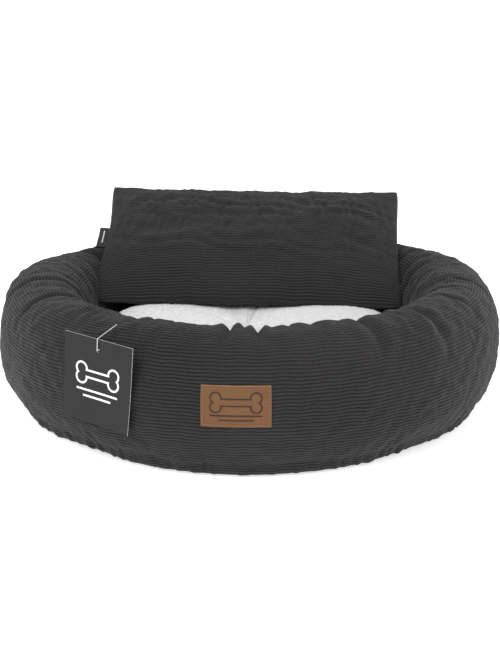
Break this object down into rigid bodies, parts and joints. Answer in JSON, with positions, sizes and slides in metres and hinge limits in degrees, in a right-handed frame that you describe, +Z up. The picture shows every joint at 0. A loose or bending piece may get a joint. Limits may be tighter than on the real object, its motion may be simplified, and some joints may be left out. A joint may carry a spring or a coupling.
{
  "type": "pet cushion bed",
  "caption": "Round bolster pet bed in ribbed fabric with a loose plush cushion in the well and a loose pillow leaning over the back of the ring.",
  "frame": {"origin": "centre of the base, on the floor", "axes": "+Z up, +X to the right, +Y to the back, where the pillow leans"},
  "size_m": [0.6, 0.6023, 0.2264],
  "materials": {
    "ribbed_cloth": "matt ribbed pile",
    "plush": "short soft pile",
    "lining_cloth": "matt woven",
    "base_cloth": "matt woven with grip dots",
    "bag_cloth": "matt non-woven",
    "fibre_fill": "loose white fibre",
    "white_thread": "matt thread",
    "patch_leather": "fine grain, satin",
    "patch_thread": "matt thread",
    "label_tape": "satin woven tape",
    "care_tape": "satin woven tape",
    "zip_tape": "matt woven tape",
    "zip_coil": "nylon coil",
    "zip_metal": "black enamel",
    "light_zip_tape": "matt woven tape",
    "light_zip_coil": "nylon coil",
    "light_zip_metal": "satin nickel",
    "tag_card": "gloss laminated card",
    "clear_plastic": "clear"
  },
  "bodies": {
    "bed": {"bolster_cover": "ribbed_cloth", "bolster_fill": "fibre_fill", "base_cloth": "base_cloth", "base_wadding": "fibre_fill", "well_floor": "base_cloth", "care_label": "care_tape", "leather_patch": "patch_leather", "patch_stitching": "patch_thread"},
    "cushion": {"cushion_top_cover": "plush", "cushion_base_cover": "lining_cloth", "cushion_inner_bag": "bag_cloth", "cushion_fill": "fibre_fill", "cushion_tie": "white_thread", "cushion_zip_tapes": "light_zip_tape", "cushion_zip_coils": "light_zip_coil", "cushion_zip_stops": "light_zip_metal"},
    "cushion_slider": {"cushion_zip_slider": "light_zip_metal", "cushion_zip_pull": "light_zip_metal"},
    "pillow": {"pillow_front_cover": "ribbed_cloth", "pillow_back_cover": "ribbed_cloth", "pillow_inner_bag": "bag_cloth", "pillow_fill": "fibre_fill", "pillow_label": "label_tape", "pillow_zip_tapes": "zip_tape", "pillow_zip_coils": "zip_coil", "pillow_zip_stops": "zip_metal"},
    "pillow_slider": {"pillow_zip_slider": "zip_metal"},
    "pillow_pull": {"pillow_zip_pull": "zip_metal"},
    "fastener": {"tag_fastener": "clear_plastic"},
    "tag": {"hang_tag": "tag_card"}
  },
  "joints": [
    {"name": "cushion_lift", "type": "slide", "parent": "bed", "child": "cushion", "axis": [0, 0, 1], "range_m": [0, 0.22]},
    {"name": "cushion_zip_travel", "type": "hinge", "parent": "cushion", "child": "cushion_slider", "pos_m": [0, 0, 0.0525], "axis": [0, 0, 1], "range_deg": [0, 104.7]},
    {"name": "pillow_lift", "type": "slide", "parent": "cushion", "child": "pillow", "axis": [0, 0, 1], "range_m": [0, 0.2]},
    {"name": "pillow_zip_travel", "type": "hinge", "parent": "pillow", "child": "pillow_slider", "pos_m": [-0.009, -0.5803, 1.4168], "axis": [0.0401, 0.8832, 0.4673], "range_deg": [0, 6.7]},
    {"name": "pillow_pull_turn", "type": "hinge", "parent": "pillow_slider", "child": "pillow_pull", "pos_m": [0.0894, 0.1063, 0.1108], "axis": [-0.0401, -0.8832, -0.4673], "range_deg": [0, 170]},
    {"name": "tag_swing", "type": "hinge", "parent": "bed", "child": "fastener", "pos_m": [-0.139, -0.2268, 0.1517], "axis": [-0.5225, -0.8526, 0], "range_deg": [-30, 30]},
    {"name": "tag_lift", "type": "hinge", "parent": "fastener", "child": "tag", "pos_m": [-0.1552, -0.2583, 0.1332], "axis": [-0.8502, 0.521, 0.075], "range_deg": [0, 55]}
  ]
}
